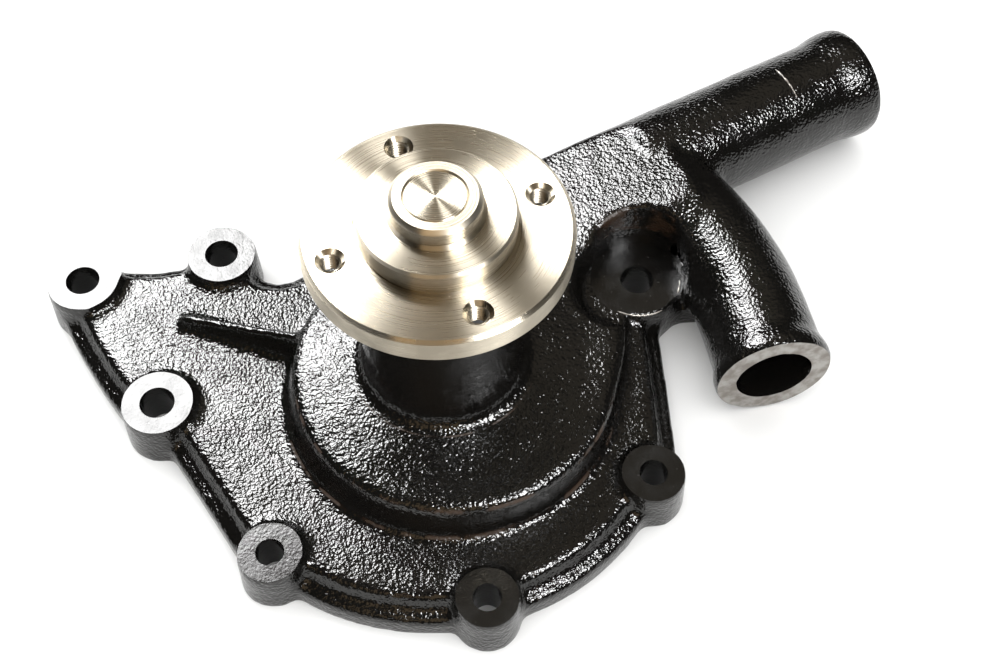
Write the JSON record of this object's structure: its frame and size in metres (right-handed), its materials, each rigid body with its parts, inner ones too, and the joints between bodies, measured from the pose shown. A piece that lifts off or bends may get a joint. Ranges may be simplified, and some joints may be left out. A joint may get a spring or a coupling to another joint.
{
  "type": "engine water pump",
  "caption": "Engine coolant pump: black cast housing with open back, bearing barrel, two beaded hose pipes and a flanged pulley hub on a sealed shaft with its impeller.",
  "frame": {"origin": "shaft axis on the plane of the mounting face", "axes": "+Z along the shaft from the mounting face to the pulley hub; +X towards the hose pipes"},
  "size_m": [0.2844, 0.2274, 0.1075],
  "materials": {
    "black_paint": "gloss black paint over rough cast iron",
    "machined_steel": "bright turned steel",
    "ground_steel": "ground steel",
    "bearing_steel": "ground bearing steel",
    "ball_steel": "polished steel",
    "cage_plastic": "moulded nylon",
    "black_rubber": "moulded rubber",
    "seal_brass": "pressed brass",
    "seal_steel": "pressed stainless steel",
    "carbon": "lapped carbon",
    "ceramic": "lapped alumina ceramic",
    "cast_iron": "bare cast iron"
  },
  "bodies": {
    "housing": {"pump_housing": "black_paint", "bearing_outer_race": "bearing_steel", "front_bearing_seal": "black_rubber", "rear_bearing_seal": "black_rubber", "seal_case": "seal_brass", "seal_drive_band": "seal_steel", "seal_bellows": "black_rubber", "seal_spring": "seal_steel"},
    "rotor": {"pump_shaft": "ground_steel", "pulley_hub": "machined_steel", "impeller": "cast_iron", "mating_ring": "ceramic", "mating_ring_cup": "black_rubber", "water_slinger": "black_rubber"},
    "front_ball_set": {"front_bearing_balls": "ball_steel", "front_ball_cage": "cage_plastic"},
    "rear_ball_set": {"rear_bearing_balls": "ball_steel", "rear_ball_cage": "cage_plastic"},
    "seal_face": {"seal_carbon_ring": "carbon", "seal_retainer": "seal_steel"}
  },
  "joints": [
    {"name": "shaft_spin", "type": "hinge", "parent": "housing", "child": "rotor", "pos_m": [0, 0, 0], "axis": [0, 0, 1], "continuous": true},
    {"name": "front_ball_orbit", "type": "hinge", "parent": "housing", "child": "front_ball_set", "pos_m": [0, 0, 0.07], "axis": [0, 0, 1], "continuous": true},
    {"name": "rear_ball_orbit", "type": "hinge", "parent": "housing", "child": "rear_ball_set", "pos_m": [0, 0, 0.052], "axis": [0, 0, 1], "continuous": true},
    {"name": "seal_face_float", "type": "slide", "parent": "housing", "child": "seal_face", "axis": [0, 0, 1], "range_m": [0, 0.0012], "stiffness_N_per_m": 2500, "springref_m": -0.004, "deforming": ["seal_spring", "seal_bellows"]}
  ],
  "couplings": [
    {"joint": "front_ball_orbit", "follows": "shaft_spin", "ratio": 0.3218},
    {"joint": "rear_ball_orbit", "follows": "shaft_spin", "ratio": 0.3218}
  ]
}
